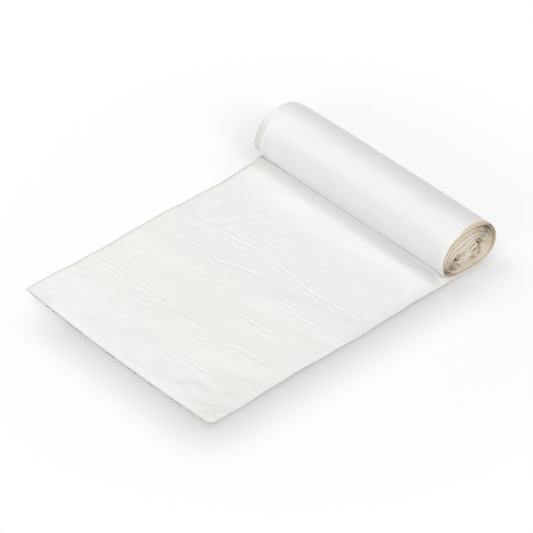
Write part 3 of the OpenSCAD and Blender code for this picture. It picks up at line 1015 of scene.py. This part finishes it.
# Brown painted shade inside the roll: the free room at which turns count as apart, then for packed turns and
# for turns that stand apart the share, and how far in from the end it starts and is whole
APART_ROOM = (0.35, 0.8)
DEEP_SHARES, DEEP_STARTS, DEEP_WHOLES = (1.0, 0.6), (0.1, -0.5), (1.6, 0.5)
# How far in a painted highlight reaches, and the brown painted shade on the outer turns' right side, with how
# many they are
LIGHT_IN = (1.0, 0.3)
RIGHT_BROWN, RIGHT_X, RIGHT_TURNS = 0.15, (4.0, 18.0), 3


def inner_shares(line, room, outer_pile):
    """Paint shares inside the roll: cream on the film's edges, brown painted shade further in and where turns
    part, and painted highlights that take both out.
    """
    x, y, z = line.T
    near, far = y - y[0], y[-1] - y
    none = np.zeros(len(x))
    apart = float(ramp(*APART_ROOM, room))
    # Painted highlights where a layer catches the light, and brown painted shade where the eye looks deep
    # between the layers
    light = strokes(x, z, HIGHLIGHT_STROKES) * ramp(*LIGHT_IN, near)
    brown = strokes(x, z, SHADE_STROKES) * (near < far)
    brown = np.maximum(brown, outer_pile * RIGHT_BROWN * ramp(*RIGHT_X, x))
    inward = ramp(mix(*DEEP_STARTS, apart), mix(*DEEP_WHOLES, apart), np.minimum(near, far))
    return {
        "wound": none,
        "painted_light": none,
        "rim": 1.0 - light,
        "deep_shade": np.maximum(mix(*DEEP_SHARES, apart) * inward, brown) * (1.0 - light),
        "painted_shade": none,
    }


# Where along the roll the room is measured, the room taken for the core's turns and leg, and how much of the
# torn edge's paint the first rows get
ROOM_Y, CORE_ROOM = -80.0, 0.5
TORN_ROWS = (1.0, 0.4)


def room_beside(a, face):
    """The free room between a turn and the next one, outside it for face 0 and inside it for face 1."""
    outer, inner = (a - 360.0, a) if face == 0 else (a, a + 360.0)
    return float(reach(outer, ROOM_Y) - web_thickness(outer) - reach(inner, ROOM_Y))


def tag_points(rows, tail_end, outer_end):
    """All points' paint shares, from the rows' places in the web: the tail, the outer turn, the rest."""
    tags = []
    fine_end = outer_end + FINE_TURNS * (FINE_STEPS + 1)
    for i, row in enumerate(rows):
        turn, step = divmod(max(0, i - outer_end), FINE_STEPS + 1)
        a = TURN_END + 360.0 * (turn + step / FINE_STEPS)
        if i < outer_end:
            a = START + 360.0 * (i - tail_end) / OUTER_STEPS
        for face, line in enumerate(row):
            if i < tail_end:
                tags.append(tail_shares(line, face, TORN_ROWS[i] if i < len(TORN_ROWS) else 0.0))
            elif i < outer_end and face == 0:
                tags.append(outer_shares(line, a))
            else:
                room = room_beside(np.float64(a), face) if i < fine_end - FINE_STEPS else CORE_ROOM
                tags.append(inner_shares(line, room, float(a < TURN_END + 360.0 * RIGHT_TURNS)))
    return {name: np.concatenate([tag[name] for tag in tags]) for name, _ in PAINTS}


def build_web():
    """The web as an object, and its length along its path."""
    tail = tail_rows()
    rows = tail + turn_rows(START, OUTER_STEPS, EDGE_INSETS, (SHOWN_PLACES, HIDDEN_PLACES), True)
    outer_rows = len(rows)
    for turn in range(FINE_TURNS):
        rows += turn_rows(TURN_END + 360.0 * turn, FINE_STEPS, FINE_INSETS, (FINE_PLACES, FINE_PLACES))
    rows += leg_rows(rows[-1])
    points, faces = skin(rows)
    web = new_object("film_web", points, faces, film_material())

    tags = tag_points(rows, len(tail), outer_rows)
    for name, values in tags.items():
        point_values(web.data, name, values)
    point_values(web.data, "cool", cool_field(points))

    middles = np.array([row[0][len(row[0]) // 2] for row in rows[1:]])
    return web, float(np.linalg.norm(np.diff(middles, axis=0), axis=1).sum())


web, web_length = build_web()
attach(web, "root")
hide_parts("bag_roll")


# Floor, camera and light

FLOOR_HALF = 4.0
FLOOR_DROP = 0.00005
mesh = bpy.data.meshes.new("floor")
corners = [(FLOOR_HALF * x, FLOOR_HALF * y, 0) for x, y in ((-1, -1), (1, -1), (1, 1), (-1, 1))]
mesh.from_pydata(corners, [], [(0, 1, 2, 3)])
floor = bpy.data.objects.new("floor", mesh)
floor.location.z = -FLOOR_DROP
bpy.context.scene.collection.objects.link(floor)
mesh.materials.append(floor_material())

# The camera, fitted to the photograph's edges and corners
AZIMUTH, ELEVATION = math.radians(42.51), math.radians(38.68)
DISTANCE = 2.394
ASIDE, ALOFT, DROP = 0.0650, 0.0335, 0.0022
PHOTO_SIDE = 533
FOCAL_PX = 3923
SENSOR = 36.0


def aim(obj, right, up, back, place):
    """Sets an object's axes and place from columns of numbers."""
    columns = np.array([right, up, back, place]).T
    obj.matrix_world = Matrix([*columns.tolist(), [0.0, 0.0, 0.0, 1.0]])


look = np.array([
    math.sin(AZIMUTH) * math.cos(ELEVATION), math.cos(AZIMUTH) * math.cos(ELEVATION), -math.sin(ELEVATION)
])
right = np.array([math.cos(AZIMUTH), -math.sin(AZIMUTH), 0.0])
up = np.cross(right, look)
camera = bpy.data.objects.new("camera", bpy.data.cameras.new("camera"))
camera_place = -ASIDE * right - ALOFT * up - DISTANCE * look - np.array([0.0, 0.0, DROP])
aim(camera, right, up, -look, camera_place)
camera.data.sensor_width = SENSOR
camera.data.lens = SENSOR * FOCAL_PX / PHOTO_SIDE
bpy.context.scene.collection.objects.link(camera)
bpy.context.scene.camera = camera


def soft_lamp(name, way, distance, wide, high, power):
    """An oval soft box that stands in a direction from the middle of the object and faces it."""
    data = bpy.data.lights.new(name, "AREA")
    data.shape = "ELLIPSE"
    data.size = wide
    data.size_y = high
    data.energy = power
    lamp = bpy.data.objects.new(name, data)
    back = np.array(way) / np.linalg.norm(way)
    across = np.cross([0.0, 0.0, 1.0], back)
    across = across / np.linalg.norm(across)
    aim(lamp, across, np.cross(back, across), back, np.array(MIDDLE) + distance * back)
    bpy.context.scene.collection.objects.link(lamp)


# Soft boxes: the way to them, how far, how wide and high, and how strong
LAMPS = {
    "back": ((0.02, 0.58, 0.80), 1.1, 1.30, 0.90, 5.0),
    "left": ((-0.85, -0.20, 0.38), 2.0, 1.0, 1.0, 10.0),
    "front": ((0.0, -0.80, 0.60), 2.0, 1.0, 1.0, 14.0),
}
WORLD_LIGHT = 0.40
for name, setting in LAMPS.items():
    soft_lamp(name, *setting)

world = bpy.data.worlds.new("studio")
bpy.context.scene.world = world
world.use_nodes = True
sky = world.node_tree.nodes["Background"]
sky.inputs["Color"].default_value = (1.0, 1.0, 1.0, 1.0)
sky.inputs["Strength"].default_value = WORLD_LIGHT

bpy.context.scene.view_settings.view_transform = "Standard"
